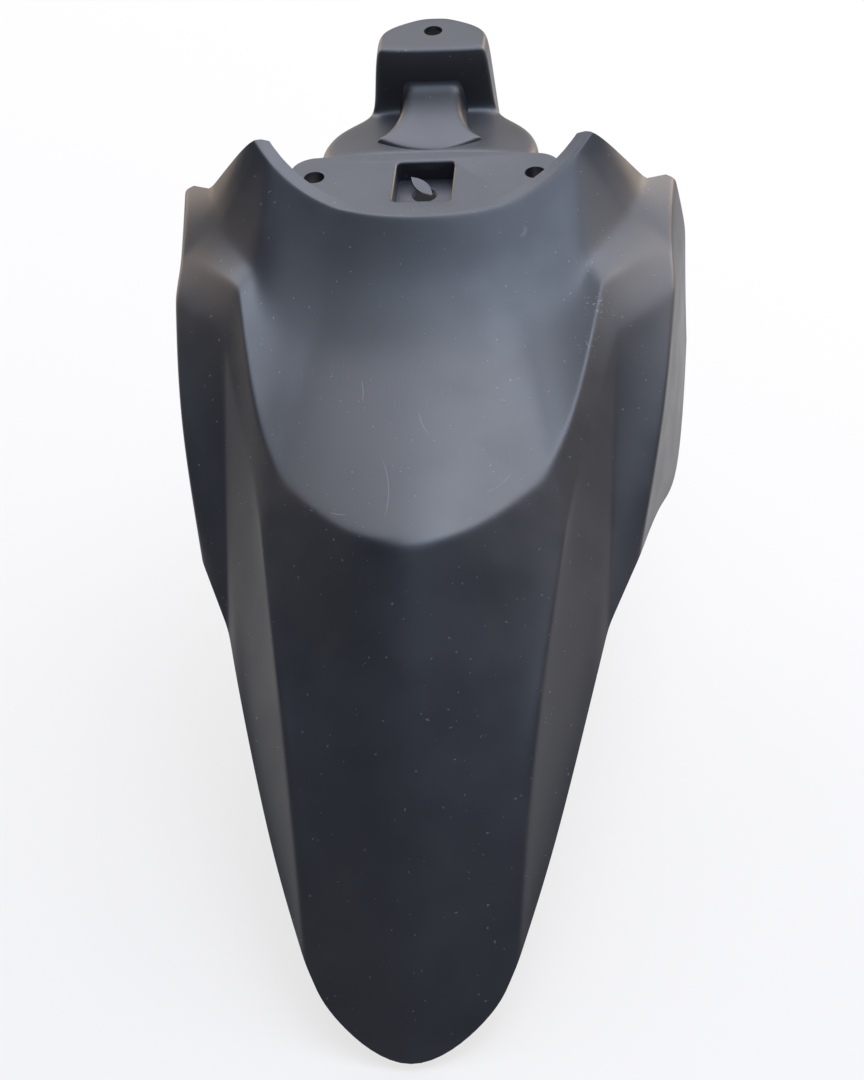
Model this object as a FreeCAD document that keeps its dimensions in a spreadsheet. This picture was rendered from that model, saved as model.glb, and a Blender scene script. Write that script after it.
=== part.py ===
# Front fender of a small motorcycle, one thin moulded piece.
# X runs across, -Y points forward to the nose, +Z stands on the bolting ledge.
# The origin lies midway between the two ledge bolts, on the ledge's top face.
import FreeCAD, Part
import os
import Sketcher
from FreeCAD import Rotation, Vector

doc = FreeCAD.newDocument("fender")
sheet = doc.addObject("Spreadsheet::Sheet", "Sizes")

# Driving sizes in millimetres and degrees; overrun, softness_limit and foot_ease are shares of a length.
SIZES = {
    "wall": 2.6,
    "bolt_half_spacing": 55.5,
    "bolt_hole_radius": 5.2,
    "rim_radius": 103.0,
    "rim_reach": 40.0,
    "band_width": 7.2,
    "band_thickness": 3.2,
    "band_step": 1.0,
    "rim_step": 0.6,
    "rim_clearance": 0.15,
    "band_flat_half": 32.0,
    "horn_curve_radius": 83.0,
    "horn_half_width": 85.0,
    "horn_rear": 4.5,
    "horn_tip_half": 81.0,
    "horn_tip_rear": 6.0,
    "kink_half": 110.8,
    "kink_rear": 7.5,
    "shoulder_half": 120.0,
    "shoulder_rear": 15.5,
    "skirt_rear": 17.0,
    "edge_softness": 5.5,
    "crease_softness": 9.0,
    "skirt_softness": 5.0,
    "ledge_thickness": 3.2,
    "ledge_half_width": 68.0,
    "ledge_rear": 18.0,
    "ledge_round": 13.0,
    "collar_depth": 10.0,
    "saddle_half_width": 55.5,
    "saddle_front": 16.5,
    "saddle_bend": 34.0,
    "saddle_hip_half": 48.5,
    "saddle_hip": 57.0,
    "saddle_rear_half": 32.0,
    "saddle_rear": 69.0,
    "saddle_depth": 32.0,
    "saddle_fall": 9.0,
    "saddle_round": 24.0,
    "saddle_edge_round": 5.0,
    "tower_half_width": 32.5,
    "tower_front": 67.0,
    "tower_height": 27.0,
    "tower_round": 5.0,
    "tab_edge_round": 2.2,
    "tab_half_width": 28.2,
    "tab_front": 76.0,
    "tab_shoulder": 91.0,
    "tab_tip": 109.0,
    "tab_tip_half": 7.0,
    "tab_hole_centre": 95.0,
    "tab_hole_radius": 4.8,
    "tongue_half_front": 33.0,
    "tongue_half_waist": 16.0,
    "tongue_half_rear": 14.5,
    "tongue_front": 22.5,
    "tongue_waist": 52.0,
    "tongue_round": 32.0,
    "tongue_height": 0.4,
    "tongue_rise": 6.5,
    "pocket_half_width": 14.5,
    "pocket_rear": 12.0,
    "pocket_front": 23.0,
    "pocket_depth": 10.5,
    "pocket_lip": 2.4,
    "pocket_hole_forward": 2.5,
    "pocket_hole_radius": 6.3,
    "flap_thickness": 1.3,
    "flap_tilt": 38.0,
    "flap_lean": 10.0,
    "flap_offset": 2.0,
    "rim_margin": 4.0,
    "overrun": 0.3,
    "softness_limit": 0.4,
    "foot_ease": 0.3,
    "saddle_drop": 0.4,
    "open_below": 5.0,
    "tool_length": 300.0,
}
# Guide lines of the skin, from the centre outwards. Each gives the half width,
# the reach forward and the level at the foot of the rim, at the edge of the
# top panel, on the wall below that edge, on the side and at the free hem.
GUIDES = {
    "centre": ((0, 76, -34), (0, 214, -67), (0, 228, -83), (0, 302, -168), (0, 369, -263)),
    "flank": ((26, 75, -34), (33, 196, -71), (34, 211, -86), (33, 289, -168), (39, 343, -243)),
    "crease": ((47, 71, -33), (63, 160, -69), (67, 178, -83), (58, 262, -143), (50, 326, -225)),
    "facet": ((63, 65, -30), (76, 130, -58), (80, 146, -68), (76, 220, -135), (67, 285, -192)),
    "cheek": ((75, 58, -26), (84, 95, -41), (90, 116, -53), (86, 185, -110), (84, 224, -152)),
    "notch": ((83, 48, -21), (90, 60, -24), (98, 82, -38), (93, 150, -78), (92, 190, -136)),
    "corner": ((103, 16, -15), (122, 23, -29), (125, 46, -38), (120, 104, -73), (107, 157, -119)),
    "apron": ((107, 4, -11), (123, 10, -23), (126, 28, -44), (123, 75, -90), (116, 104, -127)),
    "skirt": ((110, -8, -9), (124, -5, -17), (128, 4, -46), (126, 25, -105), (124, 58, -154)),
    "rear": ((111, -32, -5), (126, -32, -13), (130, -32, -42), (129, -32, -80), (129, -32, -112)),
}
ROWS = ("foot", "edge", "wall", "side", "hem")
# Half width at which each guide line starts on the rim.
STARTS = {
    "centre": 0, "flank": 22, "crease": 41, "facet": 55, "cheek": 66,
    "notch": 75, "corner": 81, "apron": 85.5, "skirt": 87, "rear": 88,
}
# How softly each guide line turns at the foot of the rim; a small number makes a crease.
FOOT_SOFTNESS = {
    "centre": 60, "flank": 60, "crease": 60, "facet": 60, "cheek": 60,
    "notch": 14, "corner": 7, "apron": 6, "skirt": 5, "rear": 5,
}

line = 1
for name, number in SIZES.items():
    sheet.set("A%d" % line, name)
    sheet.set("B%d" % line, str(number))
    sheet.setAlias("B%d" % line, name)
    line += 1
for guide, points in GUIDES.items():
    for row, point in zip(ROWS, points):
        sheet.set("A%d" % line, guide + "_" + row)
        for column, axis, number in zip("BCD", ("half", "reach", "level"), point):
            sheet.set("%s%d" % (column, line), str(number))
            sheet.setAlias("%s%d" % (column, line), "_".join((guide, row, axis)))
        line += 1
    for ending, number in (("_start", STARTS[guide]), ("_turn", FOOT_SOFTNESS[guide])):
        sheet.set("A%d" % line, guide + ending)
        sheet.set("B%d" % line, str(number))
        sheet.setAlias("B%d" % line, guide + ending)
        line += 1
doc.recompute()


def size(name):
    return float(sheet.get(name))


def guide_point(guide, row):
    key = guide + "_" + row
    return Vector(size(key + "_half"), -size(key + "_reach"), size(key + "_level"))


def band_level(half):
    # Height of the band's top: level in the middle, curving up into the horns.
    radius = size("horn_curve_radius")
    off = max(0.0, half - size("band_flat_half"))
    return size("band_step") + radius - (radius ** 2 - off ** 2) ** 0.5


def rim_point(guide):
    half = size(guide + "_start")
    radius = size("rim_radius")
    reach = size("rim_reach") - radius + (radius ** 2 - half ** 2) ** 0.5
    reach = min(reach, size(guide + "_foot_reach") - size("rim_margin"))
    return Vector(half, -reach, band_level(half) - size("rim_step"))


def toward(start, end, length):
    way = end - start
    return start + way * (min(length, size("softness_limit") * way.Length) / way.Length)


def guide_line(guide):
    # Poles of one guide line from above the rim down to the hem.
    rim = rim_point(guide)
    foot, edge, wall, side, hem = [guide_point(guide, row) for row in ROWS]
    middle = (foot + edge) * 0.5
    bend = size(guide + "_turn")
    eased = foot + ((rim + middle) * 0.5 - foot) * (size("foot_ease") * bend / size("centre_turn"))
    soft = size("edge_softness")
    crease = size("crease_softness")
    return [
        rim + (rim - foot) * size("overrun"), rim, toward(foot, rim, bend), eased,
        toward(foot, middle, bend), middle, toward(edge, middle, soft), edge,
        toward(edge, wall, soft), wall, toward(wall, side, crease), side, hem,
    ]


def between(first, second, softness):
    return [toward(a, b, size(softness)) for a, b in zip(first, second)]


lines = {guide: guide_line(guide) for guide in GUIDES}
half_net = [
    lines["centre"],
    lines["flank"],
    between(lines["crease"], lines["flank"], "crease_softness"),
    lines["crease"],
    between(lines["crease"], lines["facet"], "crease_softness"),
    lines["facet"],
    lines["cheek"],
    between(lines["notch"], lines["cheek"], "crease_softness"),
    lines["notch"],
    between(lines["notch"], lines["corner"], "crease_softness"),
    between(lines["corner"], lines["notch"], "skirt_softness"),
    lines["corner"],
    between(lines["corner"], lines["apron"], "skirt_softness"),
    lines["apron"],
    lines["skirt"],
    lines["rear"],
]
mirrored = [[Vector(-p.x, p.y, p.z) for p in poles] for poles in half_net[:0:-1]]
outer_net = mirrored + half_net


def inset(net, depth):
    # Moves every pole inwards by the wall, square to the net around it.
    moved = []
    for i, poles in enumerate(net):
        before, after = net[max(i - 1, 0)], net[min(i + 1, len(net) - 1)]
        column = []
        for j, pole in enumerate(poles):
            along = poles[min(j + 1, len(poles) - 1)] - poles[max(j - 1, 0)]
            normal = (after[j] - before[j]).cross(along).normalize()
            column.append(pole + normal * depth)
        moved.append(column)
    return moved


def clamped(count):
    inner = count - 4
    return list(range(inner + 2)), [4] + [1] * inner + [4]


def skin_surface(net):
    surface = Part.BSplineSurface()
    u_knots, u_mults = clamped(len(net))
    v_knots, v_mults = clamped(len(net[0]))
    surface.buildFromPolesMultsKnots(net, u_mults, v_mults, u_knots, v_knots, False, False, 3, 3)
    return surface


def borders(surface):
    u_low, u_high, v_low, v_high = surface.bounds()
    return [surface.uIso(u_low), surface.uIso(u_high), surface.vIso(v_low), surface.vIso(v_high)]


outside = skin_surface(outer_net)
inside = skin_surface(inset(outer_net, size("wall")))
faces = [outside.toShape(), inside.toShape()]
for outer_border, inner_border in zip(borders(outside), borders(inside)):
    faces.append(Part.makeRuledSurface(outer_border.toShape(), inner_border.toShape()))
shell = Part.makeShell(faces)
shell.sewShape()
solid = Part.makeSolid(shell)
if solid.Volume < 0:
    solid.reverse()
skin = doc.addObject("Part::Feature", "skin")
skin.Shape = solid


def bound(kind, name, **expressions):
    piece = doc.addObject(kind, name)
    for prop, text in expressions.items():
        piece.setExpression(prop.replace("__", "."), text)
    return piece


def cell(text):
    # Turns every size name in a formula into a reference to the sheet.
    words = text.replace("(", "( ").replace(")", " )").split()
    return " ".join("Sizes." + w if w in SIZES else w for w in words)


def place(piece, x="0", y="0", z="0"):
    for axis, text in zip("xyz", (x, y, z)):
        piece.setExpression("Placement.Base." + axis, cell(text))
    return piece


def cylinder(name, radius, height, x="0", y="0", z="0"):
    piece = bound("Part::Cylinder", name, Radius=cell(radius), Height=cell(height))
    return place(piece, x, y, z)


def box(name, half, rear, front, low, high):
    # A block across the middle, given by half width, rear and front ends, and levels.
    piece = bound("Part::Box", name, Length=cell("2 * ( " + half + " )"))
    piece.setExpression("Width", cell("( " + rear + " ) + ( " + front + " )"))
    piece.setExpression("Height", cell("( " + high + " ) - ( " + low + " )"))
    return place(piece, "0 - ( " + half + " )", "0 - ( " + front + " )", low)


def total(text):
    # Works out a sum of size names and numbers.
    words = text.replace("-", "+ -").replace("- ", "-").split("+")
    result = 0.0
    for word in [w.strip() for w in words if w.strip()]:
        sign = -1.0 if word.startswith("-") else 1.0
        word = word.lstrip("- ")
        result += sign * (size(word) if word in SIZES else float(word))
    return result


def outline(name, points, level="0"):
    # A closed outline in plan, mirrored across the middle; points are (half, rearward).
    sketch = doc.addObject("Sketcher::SketchObject", name)
    ring = [(1, h, r) for h, r in points] + [(-1, h, r) for h, r in points[::-1] if h != "0"]
    corners = [Vector(sign * total(h), total(r), 0) for sign, h, r in ring]
    count = len(ring)
    for k in range(count):
        sketch.addGeometry(Part.LineSegment(corners[k], corners[(k + 1) % count]), False)
    for k in range(count):
        sketch.addConstraint(Sketcher.Constraint("Coincident", k, 2, (k + 1) % count, 1))
    for k, (sign, h, r) in enumerate(ring):
        across = h if sign > 0 else "0 - ( " + h + " )"
        for kind, text, value in (("DistanceX", across, corners[k].x), ("DistanceY", r, corners[k].y)):
            index = sketch.addConstraint(Sketcher.Constraint(kind, -1, 1, k, 1, value))
            sketch.setExpression("Constraints[%d]" % index, cell(text))
    return place(sketch, z=level)


def prism(name, points, low, height):
    piece = doc.addObject("Part::Extrusion", name)
    piece.Base = outline(name + "_outline", points, low)
    piece.DirMode = "Custom"
    piece.Dir = Vector(0, 0, 1)
    piece.setExpression("LengthFwd", cell(height))
    piece.Solid = True
    return piece


def taper(name, lower, low, upper, high):
    piece = doc.addObject("Part::Loft", name)
    piece.Sections = [outline(name + "_low", lower, low), outline(name + "_high", upper, high)]
    piece.Solid = True
    piece.Ruled = True
    return piece


def fuse(name, *pieces):
    piece = doc.addObject("Part::MultiFuse", name)
    piece.Shapes = list(pieces)
    piece.Refine = True
    return piece


def cut(name, base, tool):
    piece = doc.addObject("Part::Cut", name)
    piece.Base = base
    piece.Tool = tool
    piece.Refine = True
    return piece


def common(name, *pieces):
    piece = doc.addObject("Part::MultiCommon", name)
    piece.Shapes = list(pieces)
    piece.Refine = True
    return piece


def rounded(name, base, radius, chosen):
    # Rounds the edges of a piece that the given test picks.
    doc.recompute()
    piece = doc.addObject("Part::Fillet", name)
    piece.Base = base
    r = size(radius)
    edges = base.Shape.Edges
    piece.Edges = [(k + 1, r, r) for k, edge in enumerate(edges) if chosen(edge)]
    return piece


def upright(edge):
    return abs(edge.BoundBox.ZLength - edge.Length) < 0.01


def ledge_end(edge):
    return upright(edge) and edge.CenterOfMass.y > 0


def saddle_bend(edge):
    return upright(edge) and size("saddle_bend") - 1 < edge.CenterOfMass.y < size("saddle_hip") + 1


def saddle_top(edge):
    # The long top edges at the saddle's two sides, clear of its front and of the tower.
    middle = edge.CenterOfMass
    sideways = abs(middle.x) > size("saddle_rear_half") + 1
    return sideways and middle.z > -size("saddle_fall") - 2 and middle.y > size("saddle_front") + 1


def tower_corner(edge):
    return edge.BoundBox.ZLength > size("tower_height")


def tab_edge(edge):
    return edge.BoundBox.ZMin > size("tower_height") - 0.1


# Tools that cut the skin's rear edge and its rim in plan.
rear_points = [
    ("0", "horn_tip_rear"), ("horn_tip_half", "horn_tip_rear"), ("horn_half_width", "horn_rear"),
    ("kink_half", "kink_rear"), ("shoulder_half", "shoulder_rear"), ("tool_length", "skirt_rear"),
    ("tool_length", "tool_length"), ("0", "tool_length"),
]
rear_tool = prism("rear_tool", rear_points, "0 - tool_length", "2 * tool_length")
rim_tool = cylinder("rim_tool", "rim_radius - band_width / 2", "2 * tool_length",
                    y="rim_radius - rim_reach", z="0 - tool_length")

# The band along the rim: level in the middle, curved up into the two horns.
ring_outer = cylinder("ring_outer", "rim_radius", "2 * tool_length",
                      y="rim_radius - rim_reach", z="0 - tool_length")
ring_inner = cylinder("ring_inner", "rim_radius - band_width", "2 * tool_length",
                      y="rim_radius - rim_reach", z="0 - tool_length")
ring = cut("ring", ring_outer, ring_inner)
level_strip = box("level_strip", "band_flat_half", "tool_length", "tool_length",
                  "band_step - band_thickness", "band_step")
strips = [level_strip]
spaces = [box("level_space", "band_flat_half", "tool_length", "tool_length",
              "band_step + rim_clearance", "horn_curve_radius / 2")]
for side in (1, -1):
    start = "band_flat_half" if side > 0 else "0 - band_flat_half"
    horn_outer = cylinder("horn_outer", "horn_curve_radius + band_thickness", "2 * tool_length")
    horn_inner = cylinder("horn_inner", "horn_curve_radius", "2 * tool_length")
    horn_air = cylinder("horn_air", "horn_curve_radius - rim_clearance", "2 * tool_length")
    for piece in (horn_outer, horn_inner, horn_air):
        piece.Placement.Rotation = Rotation(Vector(1, 0, 0), 90)
        place(piece, start, "tool_length", "band_step + horn_curve_radius")
    tube = cut("horn_tube", horn_outer, horn_inner)
    keep = box("horn_keep", "horn_half_width / 2", "tool_length", "tool_length",
               "band_step - band_thickness", "horn_curve_radius / 2")
    place(keep, start if side > 0 else start + " - horn_half_width", "0 - tool_length",
          "band_step - band_thickness")
    strips.append(common("horn_strip", tube, keep))
    spaces.append(common("horn_space", horn_air, keep))
band = cut("band", common("band_ring", ring, fuse("band_strip", *strips)), rear_tool)

# Inside the rim the skin ends level with the band's top.
rim_space = common("rim_space", ring_outer, fuse("band_space", *spaces))
panel = cut("panel", skin, fuse("rear_tools", rear_tool, rim_tool, rim_space))

# The bolting ledge inside the rim, with its central pocket and a collar under each bolt hole.
ledge_disc = cylinder("ledge_disc", "rim_radius - band_width / 2", "ledge_thickness",
                      y="rim_radius - rim_reach", z="0 - ledge_thickness")
ledge_block = box("ledge_block", "ledge_half_width", "ledge_rear", "rim_radius",
                  "0 - tool_length", "tool_length")
ledge_ends = rounded("ledge_ends", ledge_block, "ledge_round", ledge_end)
ledge = common("ledge", ledge_disc, ledge_ends)
pocket_shell = box("pocket_shell", "pocket_half_width + wall", "pocket_rear + wall",
                   "pocket_front + wall", "0 - pocket_depth - wall", "0 - ledge_thickness / 2")
pocket = box("pocket", "pocket_half_width", "pocket_rear", "pocket_front",
             "0 - pocket_depth", "pocket_depth")
collars = []
for x in ("bolt_half_spacing", "0 - bolt_half_spacing"):
    collars.append(cylinder("collar", "bolt_hole_radius + wall", "collar_depth",
                            x, "0", "0 - collar_depth"))

# The saddle behind the ledge, the tower with its bolting tab, and the tongue between.
def less(name, inner):
    return name + " - " + inner if inner else name


def more(name, inner):
    return name + " + " + inner if inner else name


def saddle_points(inner):
    return [
        ("0", more("saddle_front", inner)),
        (less("saddle_half_width", inner), more("saddle_front", inner)),
        (less("saddle_half_width", inner), "saddle_bend"),
        (less("saddle_hip_half", inner), "saddle_hip"),
        (less("saddle_rear_half", inner), "saddle_rear"),
        (less("saddle_rear_half", inner), "tab_shoulder"),
        ("0", "tab_shoulder"),
    ]


def tower_points(half, front, inner):
    return [
        ("0", more(front, inner)),
        (less(half, inner), more(front, inner)),
        (less(half, inner), less("tab_shoulder", inner)),
        ("tab_tip_half", less("tab_tip", inner)),
        ("0", less("tab_tip", inner)),
    ]


def tongue_points(inner):
    return [
        ("0", more("tongue_front", inner)),
        (less("tongue_half_front", inner), more("tongue_front", inner)),
        (less("tongue_half_waist", inner), "tongue_waist"),
        (less("tongue_half_rear", inner), "tab_front"),
        ("0", "tab_front"),
    ]


def mouth_points(wider):
    return [
        ("0", less("0 - pocket_front", wider)),
        (more("pocket_half_width", wider), less("0 - pocket_front", wider)),
        (more("pocket_half_width", wider), more("pocket_rear", wider)),
        ("0", more("pocket_rear", wider)),
    ]


def slope(name, front, rear, high, low):
    # Everything above a plane that tilts from the front level to the rear level.
    piece = doc.addObject("Part::Wedge", name)
    piece.Xmin = piece.X2min = -size("tool_length")
    piece.Xmax = piece.X2max = size("tool_length")
    piece.Zmax = piece.Z2max = size("tool_length")
    for prop, text in (("Ymin", front), ("Ymax", rear), ("Zmin", high), ("Z2min", low)):
        piece.setExpression(prop, cell(text))
    return piece


def saddle_form(name, inner, low):
    drop = inner if inner else "saddle_drop"
    block = prism(name + "_block", saddle_points(inner), low, "2 * saddle_depth")
    above = slope(name + "_above", "saddle_front", "tab_shoulder",
                  "0 - " + drop, "0 - saddle_fall - " + drop)
    return cut(name, block, above)


def tower_form(name, inner, low, high):
    foot = tower_points("tower_half_width", "tower_front", inner)
    head = tower_points("tab_half_width", "tab_front", inner)
    return taper(name, foot, low, head, high)


def tongue_form(name, inner, low, front_level, rear_level):
    disc = cylinder(name + "_disc", less("tongue_round", inner), "2 * tool_length",
                    y="tongue_front + tongue_round", z="0 - tool_length")
    tail = box(name + "_tail", "tongue_half_front", "tool_length",
               "0 - tongue_front - tongue_round", "0 - tool_length", "tool_length")
    plan = prism(name + "_plan", tongue_points(inner), low, "tool_length")
    ramp = slope(name + "_ramp", "tongue_front", "tab_front", front_level, rear_level)
    return cut(name, common(name + "_block", plan, fuse(name + "_ends", disc, tail)), ramp)


below = "0 - saddle_depth - open_below"
saddle = saddle_form("saddle", "", "0 - saddle_depth")
hollow = saddle_form("hollow", "wall", below)
tower = tower_form("tower", "", "0 - saddle_depth", "tower_height")
tower_room = tower_form("tower_room", "wall", below, "tower_height - wall")
tongue = tongue_form("tongue", "", "0 - saddle_fall", "tongue_height", "tongue_rise")
tongue_room = tongue_form("tongue_room", "wall", "0 - saddle_depth",
                          "tongue_height - wall", "tongue_rise - wall")
mouth = taper("mouth", mouth_points(""), "0 - pocket_lip", mouth_points("pocket_lip"), "0")
hollows = fuse("hollows", hollow, tower_room, tongue_room, pocket, mouth)

saddle_bends = rounded("saddle_bends", saddle, "saddle_round", saddle_bend)
saddle_soft = rounded("saddle_soft", saddle_bends, "saddle_edge_round", saddle_top)
tower_corners = rounded("tower_corners", tower, "tower_round", tower_corner)
tower_soft = rounded("tower_soft", tower_corners, "tab_edge_round", tab_edge)
rear_mass = fuse("rear_mass", ledge, pocket_shell, saddle_soft, tower_soft, tongue, *collars)
rear_piece = cut("rear_piece", rear_mass, hollows)

# A knock-out disc left standing in the pocket's hole, still hanging on by its right side.
flap = cylinder("flap", "pocket_hole_radius", "flap_thickness")
tilt = Rotation(Vector(0, 1, 0), size("flap_tilt"))
flap.Placement.Rotation = tilt * Rotation(Vector(1, 0, 0), -size("flap_lean"))
place(flap, "flap_offset", "0 - pocket_hole_forward", "0 - pocket_depth + 2 * flap_thickness")

# Bolt holes in the ledge, the tab and the pocket floor.
holes = []
for x in ("bolt_half_spacing", "0 - bolt_half_spacing"):
    holes.append(cylinder("ledge_hole", "bolt_hole_radius", "tool_length", x, "0", "0 - tool_length / 2"))
holes.append(cylinder("tab_hole", "tab_hole_radius", "tool_length",
                      y="tab_hole_centre", z="tower_height - tool_length / 2"))
holes.append(cylinder("pocket_hole", "pocket_hole_radius", "3 * wall",
                      y="0 - pocket_hole_forward", z="0 - pocket_depth - 2 * wall"))
drilled = cut("drilled", fuse("joined", panel, band, rear_piece), fuse("drills", *holes))
fender = fuse("front_fender", drilled, flap)
doc.recompute()

for piece in doc.Objects:
    if "Invalid" in piece.State or "Error" in piece.State:
        raise RuntimeError("not built: " + piece.Label)
    shape = getattr(piece, "Shape", None)
    if shape is not None and (shape.isNull() or not shape.isValid()):
        raise RuntimeError("bad shape: " + piece.Label)
if len(fender.Shape.Solids) != 1:
    raise RuntimeError("the fender is not one solid")
if fender.Shape.BoundBox.YMin > -size("centre_side_reach"):
    raise RuntimeError("the skin is missing")
os.makedirs("parts", exist_ok=True)
fender.Shape.exportStep("parts/front_fender.step")
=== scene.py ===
# %% [markdown]
# # A moulded front fender
# The object is one thin plastic moulding from the front of a small motorcycle. Its looks come from soft
# double curves, a few gentle creases and a satin charcoal finish. Nothing is fixed to it, so the whole
# object is one mesh here: a shell with an even wall, and a bolting bracket at its rear.
# The imported solid comes first. Its box gives the level of the floor.

# %% Load the imported fender
import math

import bmesh
import bpy
from mathutils import Matrix, Vector


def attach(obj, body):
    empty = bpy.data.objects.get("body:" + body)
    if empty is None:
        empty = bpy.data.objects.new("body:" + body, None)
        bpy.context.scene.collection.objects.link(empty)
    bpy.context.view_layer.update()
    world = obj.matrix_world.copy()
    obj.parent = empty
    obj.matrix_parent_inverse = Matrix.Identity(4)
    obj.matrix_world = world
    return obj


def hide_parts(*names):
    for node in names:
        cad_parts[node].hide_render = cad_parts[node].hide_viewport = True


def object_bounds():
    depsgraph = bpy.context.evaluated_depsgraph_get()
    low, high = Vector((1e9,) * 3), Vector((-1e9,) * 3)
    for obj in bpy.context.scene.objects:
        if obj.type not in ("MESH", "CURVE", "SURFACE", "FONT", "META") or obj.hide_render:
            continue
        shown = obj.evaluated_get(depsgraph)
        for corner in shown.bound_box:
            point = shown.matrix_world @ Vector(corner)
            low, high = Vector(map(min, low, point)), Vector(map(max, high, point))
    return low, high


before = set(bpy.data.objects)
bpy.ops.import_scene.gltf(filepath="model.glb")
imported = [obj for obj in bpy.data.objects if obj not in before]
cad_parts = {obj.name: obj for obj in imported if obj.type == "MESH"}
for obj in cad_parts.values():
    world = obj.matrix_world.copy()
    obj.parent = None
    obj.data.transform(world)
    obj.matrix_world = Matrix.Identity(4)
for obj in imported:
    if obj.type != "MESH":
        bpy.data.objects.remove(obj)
solid_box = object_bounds()
MM = 0.001


def rounded(box):
    return [[round(c, 4) for c in corner] for corner in box]


print("solid box", rounded(solid_box))

# %% [markdown]
# ## Camera
# The photograph looks down on the fender from its nose. The lens is long, so the sides hardly converge.
# A camera is easiest to place by its direction: azimuth and elevation give the way it looks, and the
# distance and two offsets put the fender in the right part of the picture.

# %% Camera at the photograph's angle
PHOTO_SIZE = (864, 1080)
AZIMUTH, ELEVATION, ROLL = (math.radians(a) for a in (7.157, 38.691, 5.257))
DISTANCE = 1662.2 * MM
OFFSET_RIGHT, OFFSET_UP = 12.86 * MM, 182.14 * MM
# Scale of the picture at the camera's distance.
PIXELS_PER_METRE = 2000.1
SENSOR_HEIGHT = 36.0

back = Vector((math.sin(AZIMUTH) * math.cos(ELEVATION),
               -math.cos(AZIMUTH) * math.cos(ELEVATION), math.sin(ELEVATION)))
level_right = Vector((math.cos(AZIMUTH), math.sin(AZIMUTH), 0))
level_up = back.cross(level_right)
right = level_right * math.cos(ROLL) - level_up * math.sin(ROLL)
up = level_right * math.sin(ROLL) + level_up * math.cos(ROLL)

camera_data = bpy.data.cameras.new("photo_camera")
camera_data.sensor_fit = "VERTICAL"
camera_data.sensor_height = SENSOR_HEIGHT
camera_data.lens = PIXELS_PER_METRE * DISTANCE / PHOTO_SIZE[1] * SENSOR_HEIGHT
camera = bpy.data.objects.new("photo_camera", camera_data)
place = back * DISTANCE - level_right * OFFSET_RIGHT - level_up * OFFSET_UP
camera.matrix_world = Matrix.Translation(place) @ Matrix((right, up, back)).transposed().to_4x4()
bpy.context.scene.collection.objects.link(camera)
bpy.context.scene.camera = camera
print("lens", round(camera_data.lens, 1), "mm")

# %% [markdown]
# ## Floor
# The floor is pale and plain. A brighter floor would need more light, and that would wash out the fender.
# So rays from the camera, and mirrored ones, see a pale glow mixed into the floor instead. The rest of the
# mix is the lit floor, which keeps the fender's shadow.

# %% Plain floor
scene = bpy.context.scene
scene.view_settings.view_transform = "Standard"
FLOOR_GAP = 2 * MM
FLOOR_SIZE = 12.0
FLOOR_COLOUR, FLOOR_ROUGHNESS, FLOOR_SPECULAR = (0.84, 0.83, 0.81, 1), 0.8, 0.1
BACKGROUND_COLOUR, BACKGROUND_SHARE = (0.86, 0.86, 0.87, 1), 0.8


def plain_floor(height):
    bm = bmesh.new()
    bmesh.ops.create_grid(bm, x_segments=1, y_segments=1, size=FLOOR_SIZE / 2)
    bmesh.ops.translate(bm, verts=bm.verts, vec=(0, 0, height))
    mesh = bpy.data.meshes.new("floor")
    bm.to_mesh(mesh)
    bm.free()
    floor = bpy.data.objects.new("floor", mesh)
    scene.collection.objects.link(floor)
    paint = bpy.data.materials.new("pale_floor")
    paint.use_nodes = True
    tree = paint.node_tree
    shader = tree.nodes["Principled BSDF"]
    shader.inputs["Base Color"].default_value = FLOOR_COLOUR
    shader.inputs["Roughness"].default_value = FLOOR_ROUGHNESS
    shader.inputs["Specular IOR Level"].default_value = FLOOR_SPECULAR
    glow = tree.nodes.new("ShaderNodeEmission")
    glow.inputs["Color"].default_value = BACKGROUND_COLOUR
    path = tree.nodes.new("ShaderNodeLightPath")
    seen = path.outputs["Is Camera Ray"]
    for kind in ("Is Glossy Ray", "Is Transmission Ray"):
        either = tree.nodes.new("ShaderNodeMath")
        either.operation = "MAXIMUM"
        tree.links.new(seen, either.inputs[0])
        tree.links.new(path.outputs[kind], either.inputs[1])
        seen = either.outputs["Value"]
    share = tree.nodes.new("ShaderNodeMath")
    share.operation = "MULTIPLY"
    share.inputs[1].default_value = BACKGROUND_SHARE
    tree.links.new(seen, share.inputs[0])
    blend = tree.nodes.new("ShaderNodeMixShader")
    tree.links.new(share.outputs["Value"], blend.inputs[0])
    tree.links.new(shader.outputs["BSDF"], blend.inputs[1])
    tree.links.new(glow.outputs["Emission"], blend.inputs[2])
    tree.links.new(blend.outputs["Shader"], tree.nodes["Material Output"].inputs["Surface"])
    mesh.materials.append(paint)
    return floor


plain_floor(solid_box[0][2] - FLOOR_GAP)
print("floor at", round(solid_box[0][2] - FLOOR_GAP, 4))

# %% [markdown]
# ## Light
# Satin black plastic shows its form by what it mirrors, more than by its own colour. One wide cool lamp
# hangs behind and above, where the ledge and the top panel mirror it towards the camera. Two bluish ones
# above the front fill the hollow under the rim. Two more light the right of the panel and the right horn.
# Low warm lamps behind catch the shoulders and the saddle. The low front stays dim, so the nose stays dark.

# %% Studio lamps
PANEL_MIDDLE = (0, -0.12, -0.06)
WORLD_COLOUR, WORLD_STRENGTH = (0.55, 0.57, 0.62, 1), 0.2
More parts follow.
